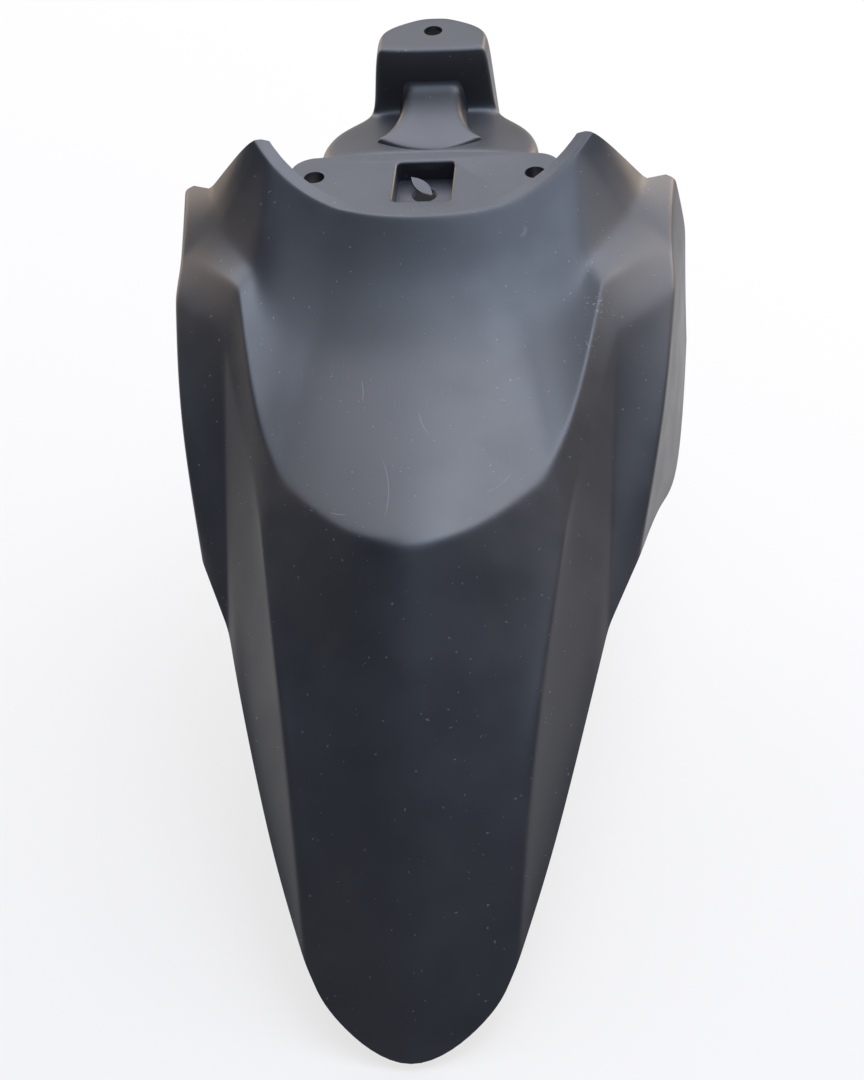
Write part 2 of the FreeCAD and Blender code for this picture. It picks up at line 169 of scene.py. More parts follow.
# Each lamp: name, place, aim, width and height in metres, watts and tint.
LAMPS = (
    ("rear_lamp", (0.3, 1.0, 1.6), PANEL_MIDDLE, 4.6, 1.7, 87, (0.84, 0.88, 1.0)),
    ("front_lamp", (0.5, -0.8, 2.0), PANEL_MIDDLE, 1.2, 0.7, 11, (0.60, 0.73, 1.0)),
    ("high_lamp", (0.0, -0.5, 2.0), PANEL_MIDDLE, 1.2, 0.7, 7, (0.72, 0.86, 1.0)),
    ("overhead_lamp", (0.5, 0.05, 2.1), PANEL_MIDDLE, 0.9, 0.9, 12, (0.72, 0.82, 1.0)),
    ("right_lamp", (1.2, 0.0, 1.5), PANEL_MIDDLE, 1.0, 1.0, 3, (0.8, 0.88, 1.0)),
    ("low_left_lamp", (-1.5, 1.4, 0.4), PANEL_MIDDLE, 1.2, 0.8, 16, (1.0, 0.78, 0.58)),
    ("low_right_lamp", (1.5, 1.4, 0.6), PANEL_MIDDLE, 1.2, 0.8, 33, (1.0, 0.80, 0.62)),
    ("horizon_lamp", (0, 2.1, 0.4), (0, 0, 0.1), 5.0, 1.0, 8, (1.0, 0.88, 0.68)),
)


def soft_lamp(name, spot, aim, width, height, watts, tint):
    data = bpy.data.lights.new(name, "AREA")
    data.shape = "RECTANGLE"
    data.size = width
    data.size_y = height
    data.energy = watts
    data.color = tint
    lamp = bpy.data.objects.new(name, data)
    lamp.location = spot
    lamp.rotation_euler = (Vector(aim) - Vector(spot)).to_track_quat("-Z", "Y").to_euler()
    scene.collection.objects.link(lamp)


for lamp_values in LAMPS:
    soft_lamp(*lamp_values)
world = bpy.data.worlds.new("studio")
scene.world = world
world.use_nodes = True
world.node_tree.nodes["Background"].inputs["Color"].default_value = WORLD_COLOUR
world.node_tree.nodes["Background"].inputs["Strength"].default_value = WORLD_STRENGTH
print(len(LAMPS), "lamps")

# %% [markdown]
# ## The shell's guide lines
# The shell is drawn as a body designer draws it: a few guide lines run from the rim over the top panel
# and down to the free hem, and one smooth surface follows them. A subdivision surface does just that with
# a coarse cage. Two cage lines close together make a crease, and a wide gap makes a soft sweep.
# Each guide line gives half width, reach forward and level, in millimetres, at five stations.

# %% Guide lines from the centre outwards
GUIDES = {
    "centre": ((0, 76, -34), (0, 214, -67), (0, 228, -83), (0, 302, -168), (0, 369, -262.9)),
    "flank": ((26, 75, -34), (33, 196, -71), (34, 211, -86), (33, 289, -168), (39, 343, -243)),
    "crease": ((47, 71, -33), (63, 160, -69), (73, 174, -88), (58, 262, -143), (50, 326, -225)),
    "facet": ((63, 65, -30), (76, 130, -58), (79, 143, -73), (76, 220, -135), (67, 285, -192)),
    "cheek": ((75, 58, -26), (84, 95, -41), (88, 112, -59), (87, 178, -116), (84, 224, -152)),
    "notch": ((83, 48, -21), (90, 60, -24), (96.5, 79, -41), (95, 134.5, -90.5), (92, 190, -136)),
    "corner": ((103, 16, -15), (122, 23, -29), (125, 46, -38), (120, 104, -73), (107, 157, -119)),
    "apron": ((107, 4, -11), (123, 10, -23), (126, 28, -44), (123, 75, -90), (116, 104, -127)),
    "skirt": ((110, -8, -9), (124, -5, -17), (128, 4, -46), (126, 25, -105), (124, 58, -154)),
    "rear": ((111, -32, -5), (126, -32, -13), (129.9, -32, -42), (128.9, -32, -80), (128.9, -32, -112)),
}
# Half width at which each guide line starts on the rim.
RIM_HALF = {"centre": 0, "flank": 22, "crease": 41, "facet": 55, "cheek": 66,
            "notch": 75, "corner": 81, "apron": 85.5, "skirt": 87, "rear": 88}
# The rim is a circle in plan. Its band is flat in the middle and climbs on an arc into the horns.
RIM_RADIUS, RIM_REACH = 103, 40
BAND_WIDTH, BAND_TOP, BAND_FLAT_HALF, HORN_RADIUS = 7.2, 1.0, 32, 83
LIP_ROUND = 2.2
# How far the cage lines beside an edge keep from it: near ones give a crisp edge, far ones a soft sweep.
EDGE_SOFT, CREASE_SOFT, SKIRT_SOFT = 5.5, 9, 5
FOOT_SOFT = {"notch": 14, "corner": 7, "apron": 6, "skirt": 5, "rear": 5}
FOOT_WIDE, FOOT_EASE = 60, 0.3
LONGEST_STEP = 0.4
WALL = 2.6


def rim_point(half, setback):
    """A point of the rim band, set back from the rim's circle towards its centre."""
    share = (RIM_RADIUS - setback) / RIM_RADIUS
    rearward = RIM_RADIUS - RIM_REACH - share * math.sqrt(RIM_RADIUS ** 2 - half ** 2)
    climb = max(0.0, half - BAND_FLAT_HALF)
    level = BAND_TOP + HORN_RADIUS - math.sqrt(HORN_RADIUS ** 2 - climb ** 2)
    return Vector((half * share, rearward, level))


def toward(start, end, length):
    """A point on the way to the end, at most the longest step's share of it."""
    way = end - start
    return start + way * min(length / way.length, LONGEST_STEP)


def guide_line(name):
    """Cage points of one guide line: over the rim band, down the panel, to the hem."""
    half = RIM_HALF[name]
    foot, edge, wall, side, hem = [Vector((h, -r, z)) for h, r, z in GUIDES[name]]
    lip = rim_point(half, 0)
    middle = (foot + edge) / 2
    soft = FOOT_SOFT.get(name, FOOT_WIDE)
    eased = foot.lerp((lip + middle) / 2, FOOT_EASE * soft / FOOT_WIDE)
    return [
        rim_point(half, BAND_WIDTH), rim_point(half, LIP_ROUND), lip, toward(lip, foot, LIP_ROUND),
        toward(foot, lip, soft), eased, toward(foot, middle, soft), middle,
        toward(edge, middle, EDGE_SOFT), edge, toward(edge, wall, EDGE_SOFT),
        wall, toward(wall, side, CREASE_SOFT), side, hem,
    ]


def between(first, second, softness, soft_rows=0):
    """A cage line beside the first one; in its first rows it keeps well away, so no crease shows there."""
    reach = [math.inf] * soft_rows + [softness] * (len(first) - soft_rows)
    return [toward(a, b, length) for a, b, length in zip(first, second, reach)]


lines = {name: guide_line(name) for name in GUIDES}
print(len(lines), "guide lines with", len(lines["centre"]), "points each")

# %% [markdown]
# ## The shell
# A grid gives the cage its faces, and its vertices are moved onto the guide lines. Extra lines stand
# close beside the three creases. After subdivision the rear edges are cut by upright planes, as a saw
# would trim the moulding, and the sheet gets its wall.

# %% Cage, subdivision and rear trim
SMOOTH_LEVELS = 3
# Rows of a guide line from the rim to the foot of the scoop, and on to the edge of the top panel.
SCOOP_ROWS, PANEL_ROWS = 6, 9
# Half width and y of the corners of the rear cut, from the middle past the horn's tip and the shoulder.
REAR_CUT = ((0, 6), (81, 6), (85, 4.5), (110.8, 7.5), (120, 15.5), (150, 15.8))


def soft_columns():
    """All cage lines from the left rear edge to the right one, with neighbours beside the creases."""
    half = [lines["centre"], lines["flank"]]
    half.append(between(lines["crease"], lines["flank"], CREASE_SOFT, PANEL_ROWS))
    half.append(lines["crease"])
    half.append(between(lines["crease"], lines["facet"], CREASE_SOFT, PANEL_ROWS))
    half += [lines["facet"], lines["cheek"]]
    half.append(between(lines["notch"], lines["cheek"], CREASE_SOFT, SCOOP_ROWS))
    half.append(lines["notch"])
    half.append(between(lines["notch"], lines["corner"], CREASE_SOFT))
    half.append(between(lines["corner"], lines["notch"], SKIRT_SOFT))
    half.append(lines["corner"])
    half.append(between(lines["corner"], lines["apron"], SKIRT_SOFT))
    half += [lines["apron"], lines["skirt"], lines["rear"]]
    other = [[Vector((-p.x, p.y, p.z)) for p in column] for column in half[:0:-1]]
    return other + half


def grid_on(columns):
    """A bmesh grid with one vertex on each point of the columns, in metres."""
    bm = bmesh.new()
    rows = len(columns[0])
    bmesh.ops.create_grid(bm, x_segments=len(columns) - 1, y_segments=rows - 1, size=1)
    bm.verts.ensure_lookup_table()
    for index, vert in enumerate(bm.verts):
        row, column = divmod(index, len(columns))
        vert.co = columns[column][row] * MM
    return bm


def finished(bm, name, *modifiers):
    """The mesh of a bmesh with some modifiers applied, as a new bmesh."""
    mesh = bpy.data.meshes.new(name)
    bm.to_mesh(mesh)
    bm.free()
    piece = bpy.data.objects.new(name, mesh)
    scene.collection.objects.link(piece)
    for kind, settings in modifiers:
        modifier = piece.modifiers.new(kind.lower(), kind)
        for key, value in settings.items():
            setattr(modifier, key, value)
    evaluated = piece.evaluated_get(bpy.context.evaluated_depsgraph_get())
    result = bpy.data.meshes.new_from_object(evaluated)
    made = bmesh.new()
    made.from_mesh(result)
    bpy.data.objects.remove(piece)
    bpy.data.meshes.remove(mesh)
    bpy.data.meshes.remove(result)
    return made


def parts_between(bm, side, near, far):
    """Faces, edges and vertices of one side, between two half widths, in the same order each run."""
    faces = [f for f in bm.faces if near < f.calc_center_median().x * side / MM < far]
    edges = dict.fromkeys(e for f in faces for e in f.edges)
    verts = dict.fromkeys(v for f in faces for v in f.verts)
    return faces + list(edges) + list(verts)


def trim_rear(bm):
    """Cuts the rear edge along the runs of the rear cut, on both sides."""
    for side in (1, -1):
        for (near, near_y), (far, far_y) in zip(REAR_CUT, REAR_CUT[1:]):
            strip_end = Vector((side * far, 0, 0)) * MM
            bmesh.ops.bisect_plane(bm, geom=bm.faces[:] + bm.edges[:] + bm.verts[:],
                                   plane_co=strip_end, plane_no=(1, 0, 0))
            bmesh.ops.bisect_plane(bm, geom=parts_between(bm, side, near, far),
                                   plane_co=Vector((side * near, near_y, 0)) * MM,
                                   plane_no=(side * (near_y - far_y), far - near, 0), clear_outer=True)


def outward(bm):
    """Turns the faces of an open sheet so that they look up and out."""
    bmesh.ops.recalc_face_normals(bm, faces=bm.faces)
    if sum(f.normal.z * f.calc_area() for f in bm.faces) < 0:
        bmesh.ops.reverse_faces(bm, faces=bm.faces)
    return bm


subdivision = {"levels": SMOOTH_LEVELS, "render_levels": SMOOTH_LEVELS}
shell = finished(grid_on(soft_columns()), "shell", ("SUBSURF", subdivision))
trim_rear(shell)
shell_wall = {"thickness": WALL * MM, "offset": -1, "use_even_offset": True}
shell = finished(outward(shell), "shell", ("SOLIDIFY", shell_wall))
print("shell", len(shell.faces), "faces")

# %% [markdown]
# ## Saddle and tower
# Behind the ledge the moulding swells into a low saddle, and a tower with a bolting tab rises from its end.
# Both belong to one soft surface, so one cage covers them: its rows run from the ledge over the saddle, up
# the tower's front and over the tab. The two sides fall to a plain lower edge.

# %% Saddle and tower cage
BRACKET_FOOT = -32
# How far inside the side edge the top starts to round, and its least share of the half width.
SADDLE_BROW, TOWER_BROW, LEAST_BROW = 9, 4.5, 0.55
# Shares along a row: the brow's drop towards the edge, and where the extra points of top and side lie.
BROW_DROP, TOP_SHARE, SIDE_SHARE = 0.35, 0.55, 0.3
# Each row: y and level in the middle, then half width, y and level of the rounded side edge, flare and brow.
BRACKET_ROWS = (
    (20.4, BRACKET_FOOT, 53.5, 17.6, BRACKET_FOOT, 0.5, SADDLE_BROW),
    (20.4, -5, 53.5, 17.6, -11, 0.5, SADDLE_BROW),
    (20.9, -2.0, 53.8, 18.2, -8, 0.5, SADDLE_BROW),
    (22.8, -0.7, 54.5, 20.4, -6.4, 0.5, SADDLE_BROW),
    (28, -1.2, 55.5, 27, -6.4, 0.5, SADDLE_BROW),
    (39, -2.8, 55.5, 39, -7.6, 0.5, SADDLE_BROW),
    (53, -4.6, 51.5, 53, -8.6, 0.5, SADDLE_BROW),
    (63, -6.0, 43.5, 63, -9.4, 0.5, SADDLE_BROW),
    (69, -6.2, 35, 70.5, -9, 0.5, SADDLE_BROW),
    (71.2, -2.5, 31.4, 74, -4, 1.8, TOWER_BROW),
    (73.0, 12, 30.0, 75.5, 11, 2.8, TOWER_BROW),
    (74.6, 23.6, 29.0, 76.8, 23, 3.6, TOWER_BROW),
    (75.8, 26.8, 28.6, 78, 26.2, 4, TOWER_BROW),
    (79, 27, 28.6, 81, 26.8, 4, TOWER_BROW),
    (88, 27, 28.8, 88, 26.8, 4, TOWER_BROW),
    (95, 27, 28.4, 94.4, 26.8, 4, TOWER_BROW),
    (102, 27, 23.4, 100.4, 26.8, 7, TOWER_BROW),
    (107.6, 27, 9, 107.8, 26.8, 10, TOWER_BROW),
    (108.8, 26.4, 6.5, 108.8, 25.4, 7.5, TOWER_BROW),
    (109, 20, 6.5, 109, 18, 4.5, TOWER_BROW),
    (109, BRACKET_FOOT, 6, 109, BRACKET_FOOT, 2, TOWER_BROW),
)


def bracket_row(y, level, half, edge_y, edge_level, flare, brow_width):
    """Half of one cage row, from the middle over the rounded edge down to the foot."""
    middle = Vector((0, y, level))
    edge = Vector((half, edge_y, edge_level))
    brow_half = max(half - brow_width, LEAST_BROW * half)
    brow = Vector((brow_half, (y + edge_y) / 2, level + BROW_DROP * (edge_level - level)))
    top = middle.lerp(Vector((brow_half, y, level)), TOP_SHARE)
    foot = Vector((half + flare, edge_y, BRACKET_FOOT))
    return [middle, top, brow, edge, edge.lerp(foot, SIDE_SHARE), foot]


def mirrored(row):
    return [Vector((-p.x, p.y, p.z)) for p in row[:0:-1]] + row


bracket = finished(grid_on([mirrored(bracket_row(*row)) for row in BRACKET_ROWS]), "bracket",
                   ("SUBSURF", subdivision))
bracket = finished(outward(bracket), "bracket", ("SOLIDIFY", shell_wall))
print("bracket", len(bracket.faces), "faces")

# %% [markdown]
# ## Tongue
# A raised tongue runs from a curved front on the saddle up to the tower, where it turns up into the wall.
# Its sides sweep down to the saddle. It is a cage of its own, sunk a little into the saddle, so that a
# fine line stays round its front as on the moulding.

# %% Tongue cage
# Each row: y and level in the middle, half width, how far the row bows back at its ends, and side height.
TONGUE_ROWS = (
    (22.2, -2.6, 26.5, 13.5, 0.4),
    (23.0, -0.9, 26, 13.2, 0.5),
    (25.2, 0.2, 24.6, 11.8, 1.0),
    (38, 2.0, 19.2, 4, 4.5),
    (52, 3.8, 15.8, 0.5, 8.5),
    (63, 5.2, 14.2, 0, 11),
    (69.5, 6.4, 14.2, 0, 11.5),
    (72.4, 8.8, 14.4, 0, 8),
    (73.8, 12.5, 14.4, 0, 3),
)
# From the middle to the foot of a row: share of the half width, and share of the side height.
TONGUE_ACROSS = ((0, 0), (0.55, 0), (0.94, 0), (1, 0.45), (1, 1.15))
# How far a side leans out for its height.
TONGUE_LEAN = 0.28


def tongue_row(y, level, half, bow, height):
    """Half of one cage row, from the middle over the edge and down the leaning side."""
    row = []
    for share, sink in TONGUE_ACROSS:
        x = half * share + TONGUE_LEAN * height * sink
        row.append(Vector((x, y + bow * share ** 2, level - height * sink)))
    return row


tongue = finished(grid_on([mirrored(tongue_row(*row)) for row in TONGUE_ROWS]), "tongue",
                  ("SUBSURF", subdivision))
tongue_wall = {"thickness": WALL / 2 * MM, "offset": -1}
tongue = finished(outward(tongue), "tongue", ("SOLIDIFY", tongue_wall))
print("tongue", len(tongue.faces), "faces")

# %% [markdown]
# ## Bolting ledge
# The flat ledge fills the curve of the rim. Its outline is one arc and two rounded lobes. A cup for the
# pocket and a collar under each bolt hole are added below it. Booleans cut the pocket, the holes and a fine
# groove along the rim, as a cutter and a drill would, and the pocket's mouth is bevelled round.

# %% Ledge with pocket and holes
LEDGE_HALF, LEDGE_REAR, LEDGE_ROUND, LEDGE_THICK = 68, 18, 13, 3.2
LEDGE_BOW = 3
# The ledge's front arc stands this share of the band's width inside the rim.
UNDER_BAND = 0.6
COLLAR_WALL, COLLAR_DEPTH = 2.6, 10
# Added parts start this far below the ledge's top, inside its thickness.
OVERLAP = 1
# The groove ends this far inside the ledge's half width.
GROOVE_INSET = 1
GROOVE_WIDTH, GROOVE_DEPTH = 0.9, 1.1
BOLT_HALF, BOLT_RADIUS = 55.5, 5.2
POCKET_HALF, POCKET_FRONT, POCKET_REAR, POCKET_DEPTH = 14.5, -23, 12, 10.5
POCKET_CORNER, POCKET_LIP = 2.5, 2.4
CORNER_SEGMENTS, LIP_SEGMENTS = 4, 5
POCKET_HOLE, POCKET_HOLE_RADIUS = (-0.5, -2.5), 6.3
TAB_HOLE_Y, TAB_HOLE_RADIUS, TAB_TOP = 95, 4.8, 27
ARC_POINTS, CORNER_POINTS, HOLE_SIDES = 48, 10, 48
DRILL_LOW, DRILL_HIGH = -20, 10
TAB_DRILL_LOW, TAB_DRILL_HIGH = TAB_TOP - 8, TAB_TOP + 5
# Slack for finding the pocket's edges, and how near its mouth is to the ledge's top.
FIND_SLACK, MOUTH_SLACK = 0.1, 0.01


def rim_arc(half, setback):
    """Points in plan along a circle inside the rim, from right to left."""
    radius = RIM_RADIUS - setback
    points = []
    for k in range(ARC_POINTS + 1):
        x = half * (1 - 2 * k / ARC_POINTS)
        points.append((x, RIM_RADIUS - RIM_REACH - math.sqrt(radius ** 2 - x ** 2)))
    return points


def ledge_outline():
    """The arc under the rim band, two rounded lobes and a slightly bowed rear edge."""
    lobe = LEDGE_HALF - LEDGE_ROUND
    left, right = [], []
    for k in range(CORNER_POINTS + 1):
        angle = math.pi / 2 * k / CORNER_POINTS
        x = lobe + LEDGE_ROUND * math.cos(angle)
        y = LEDGE_REAR - LEDGE_ROUND + LEDGE_ROUND * math.sin(angle)
        right.append((x, y))
        left.append((-x, y))
    shares = [-1 + 2 * k / CORNER_POINTS for k in range(1, CORNER_POINTS)]
    rear = [(lobe * share, LEDGE_REAR + LEDGE_BOW * (1 - share ** 2)) for share in shares]
    return rim_arc(LEDGE_HALF, BAND_WIDTH * UNDER_BAND) + left + rear + right[::-1]


def slab(outline, low, high):
    """A flat slab with an outline in plan, in metres."""
    bm = bmesh.new()
    face = bm.faces.new([bm.verts.new((x * MM, y * MM, low * MM)) for x, y in outline])
    grown = bmesh.ops.extrude_face_region(bm, geom=[face])
    tops = [e for e in grown["geom"] if isinstance(e, bmesh.types.BMVert)]
    bmesh.ops.translate(bm, verts=tops, vec=(0, 0, (high - low) * MM))
    bmesh.ops.recalc_face_normals(bm, faces=bm.faces)
    return bm


def rectangle(half, front, rear):
    return [(-half, front), (half, front), (half, rear), (-half, rear)]


def round_bar(x, y, radius, low, high):
    ring = [2 * math.pi * k / HOLE_SIDES for k in range(HOLE_SIDES)]
    return slab([(x + radius * math.cos(a), y + radius * math.sin(a)) for a in ring], low, high)


def carved(base, name, tool, operation):
    """One boolean between two closed meshes; the tool is used up."""
    mesh = bpy.data.meshes.new("tool")
    tool.to_mesh(mesh)
    tool.free()
    helper = bpy.data.objects.new("tool", mesh)
    scene.collection.objects.link(helper)
    bpy.context.view_layer.update()
    settings = {"object": helper, "operation": operation, "solver": "EXACT"}
    result = finished(base, name, ("BOOLEAN", settings))
    bpy.data.objects.remove(helper)
    bpy.data.meshes.remove(mesh)
    return result


def edges_where(bm, test):
    return [e for e in bm.edges if test(e.verts[0].co / MM) and test(e.verts[1].co / MM)]


def round_off(bm, edges, radius, segments):
    bmesh.ops.bevel(bm, geom=edges, offset=radius * MM, segments=segments, profile=0.5,
                    affect="EDGES", material=-1, clamp_overlap=True)


def in_pocket(p):
    across = abs(p.x) < POCKET_HALF + FIND_SLACK
    lengthwise = POCKET_FRONT - FIND_SLACK < p.y < POCKET_REAR + FIND_SLACK
    return across and lengthwise and p.z > -POCKET_DEPTH - FIND_SLACK


def on_mouth(p):
    return in_pocket(p) and abs(p.z) < MOUTH_SLACK


ledge = slab(ledge_outline(), -LEDGE_THICK, 0)
cup_outline = rectangle(POCKET_HALF + WALL, POCKET_FRONT - WALL, POCKET_REAR + WALL)
cup = slab(cup_outline, -POCKET_DEPTH - WALL, -OVERLAP)
ledge = carved(ledge, "ledge", cup, "UNION")
for side in (1, -1):
    collar = round_bar(side * BOLT_HALF, 0, BOLT_RADIUS + COLLAR_WALL, -COLLAR_DEPTH, -OVERLAP)
    ledge = carved(ledge, "ledge", collar, "UNION")
pocket = slab(rectangle(POCKET_HALF, POCKET_FRONT, POCKET_REAR), -POCKET_DEPTH, POCKET_DEPTH)
ledge = carved(ledge, "ledge", pocket, "DIFFERENCE")
pocket_edges = edges_where(ledge, in_pocket)
uprights = [e for e in pocket_edges if abs(e.verts[0].co.z - e.verts[1].co.z) > WALL * MM]
round_off(ledge, uprights, POCKET_CORNER, CORNER_SEGMENTS)
round_off(ledge, edges_where(ledge, on_mouth), POCKET_LIP, LIP_SEGMENTS)
bolt_holes = ((BOLT_HALF, 0, BOLT_RADIUS), (-BOLT_HALF, 0, BOLT_RADIUS))
for x, y, radius in (*bolt_holes, (*POCKET_HOLE, POCKET_HOLE_RADIUS)):
    drill = round_bar(x, y, radius, DRILL_LOW, DRILL_HIGH)
    ledge = carved(ledge, "ledge", drill, "DIFFERENCE")
groove_half = LEDGE_HALF - GROOVE_INSET
groove_outline = rim_arc(groove_half, BAND_WIDTH) + rim_arc(groove_half, BAND_WIDTH + GROOVE_WIDTH)[::-1]
groove = slab(groove_outline, -GROOVE_DEPTH, LEDGE_THICK)
ledge = carved(ledge, "ledge", groove, "DIFFERENCE")
tab_drill = round_bar(0, TAB_HOLE_Y, TAB_HOLE_RADIUS, TAB_DRILL_LOW, TAB_DRILL_HIGH)
bracket = carved(bracket, "bracket", tab_drill, "DIFFERENCE")
print("ledge", len(ledge.faces), "faces")

# %% [markdown]
# ## Knock-out disc
# The pocket's hole still holds the thin disc that was pushed aside to open it. It is a lens-shaped flake,
# tilted up to the left and hanging on at its lower right end.

# %% Tilted disc
FLAKE_LENGTH, FLAKE_WIDTH, FLAKE_THICK = 15, 6.4, 1.1
FLAKE_HIGH, FLAKE_LOW = Vector((-8.2, 6.0, -4.5)), Vector((4.4, -4.2, -10.4))
FLAKE_POINTS = 12
# How far the disc's face leans from upright towards the camera.
FLAKE_LEAN = 0.25


def flake_outline():
    """Two arcs that meet in points at both ends."""
    upper = []
    for k in range(FLAKE_POINTS):
        share = -1 + 2 * k / FLAKE_POINTS
        upper.append((share * FLAKE_LENGTH / 2, (1 - share ** 2) * FLAKE_WIDTH / 2))
    return upper + [(-x, -y) for x, y in upper]


flake = slab(flake_outline(), -FLAKE_THICK / 2, FLAKE_THICK / 2)
along = (FLAKE_LOW - FLAKE_HIGH).normalized()
upward = Vector((0, 0, 1)) * (1 - FLAKE_LEAN) + back * FLAKE_LEAN
facing = (upward - along * upward.dot(along)).normalized()
flake_turn = Matrix((along, facing.cross(along), facing)).transposed().to_4x4()
flake_place = Matrix.Translation((FLAKE_HIGH + FLAKE_LOW) / 2 * MM)
bmesh.ops.transform(flake, matrix=flake_place @ flake_turn, verts=flake.verts)
print("disc from", tuple(FLAKE_HIGH), "to", tuple(FLAKE_LOW))

# %% [markdown]
# ## One object
# All parts of the moulding go into one mesh, because the real fender is one piece. Faces are shaded smooth,
# and only edges sharper than a set angle stay sharp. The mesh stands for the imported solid, and rides on the
# only body.

# %% Join and name
SHARP_ANGLE = math.radians(40)
whole = bmesh.new()
for part in (shell, bracket, tongue, ledge, flake):
    part_mesh = bpy.data.meshes.new("part")
    part.to_mesh(part_mesh)
    part.free()
    whole.from_mesh(part_mesh)
    bpy.data.meshes.remove(part_mesh)
fender_mesh = bpy.data.meshes.new("fender")
whole.to_mesh(fender_mesh)
whole.free()
for polygon in fender_mesh.polygons:
    polygon.use_smooth = True
fender_mesh.set_sharp_from_angle(angle=SHARP_ANGLE)
fender = bpy.data.objects.new("moulded_fender", fender_mesh)
scene.collection.objects.link(fender)
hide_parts("front_fender")
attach(fender, "root")
print("fender", len(fender_mesh.polygons), "faces")

# %% [markdown]
# ## Satin charcoal plastic
# The moulding is dyed through, so its colour hardly changes, but the skin of such a part is never even. A
# mould leaves a fine grain that scatters the light, handling dulls some patches, and fine scratches and
# dust show paler. Painted images could give this, but noise on Object coordinates stays sharp at any size and
# keeps its place on the part. A few small helpers make the node tree readable.

# %% Helpers for the plastic's nodes
plastic = bpy.data.materials.new("satin_charcoal")
plastic.use_nodes = True
tree = plastic.node_tree
plastic_shader = tree.nodes["Principled BSDF"]
place_on_part = tree.nodes.new("ShaderNodeTexCoord").outputs["Object"]


def noise(scale, detail, roughness, vector=place_on_part):
    node = tree.nodes.new("ShaderNodeTexNoise")
    node.inputs["Scale"].default_value = scale
    node.inputs["Detail"].default_value = detail
    node.inputs["Roughness"].default_value = roughness
    tree.links.new(vector, node.inputs["Vector"])
    return node.outputs["Fac"]


def stretched(turn, scale):
    """Object coordinates turned and scaled, for a pattern that runs one way."""
    node = tree.nodes.new("ShaderNodeMapping")
    node.inputs["Rotation"].default_value = turn
    node.inputs["Scale"].default_value = scale
    tree.links.new(place_on_part, node.inputs["Vector"])
    return node.outputs["Vector"]


def remap(value, low, high, to_low, to_high):
    """Turns one range of values smoothly into another."""
    node = tree.nodes.new("ShaderNodeMapRange")
    node.interpolation_type = "SMOOTHSTEP"
    for name, number in (("From Min", low), ("From Max", high), ("To Min", to_low), ("To Max", to_high)):
        node.inputs[name].default_value = number
    tree.links.new(value, node.inputs["Value"])
    return node.outputs["Result"]


def combine(operation, first, second):
    node = tree.nodes.new("ShaderNodeMath")
    node.operation = operation
    for socket, value in zip(node.inputs, (first, second)):
        if isinstance(value, (int, float)):
            socket.default_value = value
        else:
            tree.links.new(value, socket)
    return node.outputs["Value"]


def strongest(marks):
    """The strongest of several marks at each place."""
    result = marks[0]
    for mark in marks[1:]:
        result = combine("MAXIMUM", result, mark)
    return result


def distance_from(spot):
    node = tree.nodes.new("ShaderNodeVectorMath")
    node.operation = "DISTANCE"
    tree.links.new(place_on_part, node.inputs[0])
    node.inputs[1].default_value = Vector(spot) * MM
    return node.outputs["Value"]


def near(spot, inner, outer):
    """One inside a radius round a spot, in millimetres, fading to nothing at the outer radius."""
    return remap(distance_from(spot), inner * MM, outer * MM, 1, 0)


def tinted(base, other, amount):
    """A mix of two colours; the base is a colour or the result of another mix."""
    node = tree.nodes.new("ShaderNodeMix")
    node.data_type = "RGBA"
    tree.links.new(amount, node.inputs["Factor"])
    for socket, colour in ((node.inputs[6], base), (node.inputs[7], other)):
        if isinstance(colour, tuple):
            socket.default_value = (*colour, 1)
        else:
            tree.links.new(colour, socket)
    return node.outputs[2]


# %% [markdown]
# ## Scratches, dust and worn specks
# Wear is what makes plastic look used. Long thin noises, stretched along one direction, give hairlines where
# the top panel has been rubbed. Six single scratches are thin arcs, each a shell round a centre that cuts the
# skin in a line. Dust is the rare peaks of a fine noise, and worn specks are such peaks near a few spots.

# %% Marks on the skin
# Noise sizes, in repeats per metre.
MOTTLE_SIZE, HANDLED_SIZE, DUST_SIZE, SPECK_SIZE = 45, 11, 620, 800
# Where the top panel is rubbed: spot, inner and outer radius in millimetres.
PANEL_RUB = ((0, -135, -60), 25, 85)
# Hairlines: how each run of them is turned, and its scale along three axes.
HAIRLINE_RUNS = (((0.2, 0.1, 0.9), (900, 22, 200)), ((0.1, 0.3, -0.6), (1100, 30, 260)),
                 ((0.4, 0.1, 2.2), (1000, 26, 240)))
# The noise levels between which a mark starts to show.
HAIRLINE_LEVELS, PATCH_LEVELS = (0.675, 0.72), (0.42, 0.62)
DUST_LEVELS, SPECK_LEVELS = (0.83, 0.86), (0.64, 0.72)
# Single scratches: the centre of the arc, its middle on the skin and how far it reaches, in millimetres.
SCRATCH_ARCS = (((-69, -182, -58), (-9, -176, -58), 20), ((20, -150, -50), (43, -168, -66), 11),
                ((50, -60, 20), (50, -40, -8), 4), ((-20, -150, -52), (-33, -186, -68), 5),
                ((30, -130, -48), (5, -140, -49), 9), ((-60, -120, -50), (-25, -118, -45), 8))
SCRATCH_HALF, SCRATCH_FADE = 0.08, 0.32
# Places where something has rubbed the skin: spot, inner and outer radius in millimetres.
WORN_SPOTS = (((88, -72, -30), 2, 12), ((84, -92, -40), 1, 9),
              ((60, -22, -4), 1, 7), ((-47, -178, -72), 1, 6))


def scratch_arc(centre, spot, reach):
    """A hair-thin arc on the skin round a centre, through a spot, fading out towards its ends."""
    radius = (Vector(spot) - Vector(centre)).length * MM
    away = combine("ABSOLUTE", combine("SUBTRACT", distance_from(centre), radius), 0)
    line = remap(away, SCRATCH_HALF * MM, SCRATCH_FADE * MM, 1, 0)
    return combine("MULTIPLY", line, near(spot, reach / 2, reach))


def hairlines(turn, scale):
    return remap(noise(1, 1, 0.4, stretched(turn, scale)), *HAIRLINE_LEVELS, 0, 1)


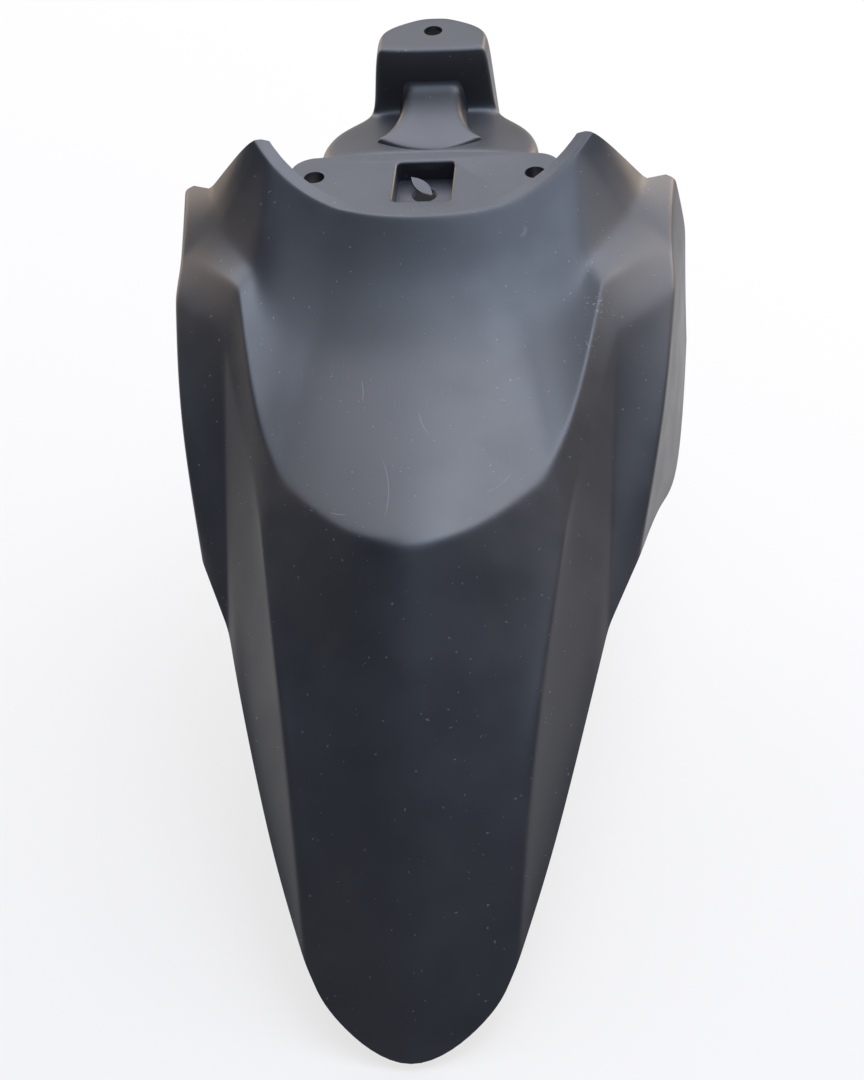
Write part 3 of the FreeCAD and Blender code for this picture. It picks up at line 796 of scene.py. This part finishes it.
mottle = noise(MOTTLE_SIZE, 4, 0.6)
handled = noise(HANDLED_SIZE, 3, 0.5)
runs = strongest([hairlines(turn, scale) for turn, scale in HAIRLINE_RUNS])
patchy = combine("MULTIPLY", runs, remap(handled, *PATCH_LEVELS, 0, 1))
rubbed = combine("MULTIPLY", patchy, near(*PANEL_RUB))
scratches = strongest([rubbed] + [scratch_arc(*arc) for arc in SCRATCH_ARCS])
dust = remap(noise(DUST_SIZE, 0, 0.5), *DUST_LEVELS, 0, 1)
speckle = remap(noise(SPECK_SIZE, 1, 0.5), *SPECK_LEVELS, 0, 1)
worn = strongest([combine("MULTIPLY", speckle, near(*spot)) for spot in WORN_SPOTS])
print(len(SCRATCH_ARCS), "single scratches,", len(WORN_SPOTS), "worn spots")

# %% [markdown]
# ## Colour, satin and grain
# A slow mottle moves the colour between two close charcoals, and the marks are laid over it. Satin means a
# middling roughness, a little rougher where the part has been handled. The grain goes into the bump. Its
# depth is a few hundredths of a millimetre, too fine to model as geometry.

# %% Colour, roughness and bump
DARK_CHARCOAL, LIGHT_CHARCOAL = (0.013, 0.0145, 0.020), (0.020, 0.021, 0.027)
# Each kind of mark: its colour, and how much of it covers the plastic.
SCRATCH_COLOUR, SCRATCH_COVER = (0.20, 0.205, 0.215), 0.4
DUST_COLOUR, DUST_COVER = (0.30, 0.30, 0.30), 0.3
WORN_COLOUR, WORN_COVER = (0.34, 0.34, 0.35), 0.4
SMOOTHEST, ROUGHEST, MOTTLE_ROUGH, SCRATCH_ROUGH = 0.40, 0.47, 0.025, 0.12
# Most of a noise lies between these levels.
USUAL_LEVELS = (0.3, 0.7)
SHINE = 0.75
GRAIN_SIZE, GRAIN_STRENGTH, GRAIN_DEPTH = 1100, 0.5, 0.06
SCRATCH_DEPTH = 0.8

colour = tinted(DARK_CHARCOAL, LIGHT_CHARCOAL, mottle)
colour = tinted(colour, SCRATCH_COLOUR, combine("MULTIPLY", scratches, SCRATCH_COVER))
colour = tinted(colour, DUST_COLOUR, combine("MULTIPLY", dust, DUST_COVER))
colour = tinted(colour, WORN_COLOUR, combine("MULTIPLY", worn, WORN_COVER))
tree.links.new(colour, plastic_shader.inputs["Base Color"])

uneven = remap(mottle, *USUAL_LEVELS, -MOTTLE_ROUGH, MOTTLE_ROUGH)
satin = combine("ADD", remap(handled, *USUAL_LEVELS, SMOOTHEST, ROUGHEST), uneven)
satin = combine("ADD", satin, combine("MULTIPLY", scratches, SCRATCH_ROUGH))
tree.links.new(satin, plastic_shader.inputs["Roughness"])
plastic_shader.inputs["Specular IOR Level"].default_value = SHINE

skin_height = combine("SUBTRACT", noise(GRAIN_SIZE, 2, 0.6), combine("MULTIPLY", scratches, SCRATCH_DEPTH))
grain_bump = tree.nodes.new("ShaderNodeBump")
grain_bump.inputs["Strength"].default_value = GRAIN_STRENGTH
grain_bump.inputs["Distance"].default_value = GRAIN_DEPTH * MM
tree.links.new(skin_height, grain_bump.inputs["Height"])
tree.links.new(grain_bump.outputs["Normal"], plastic_shader.inputs["Normal"])
fender_mesh.materials.append(plastic)
print("plastic with", len(tree.nodes), "nodes")
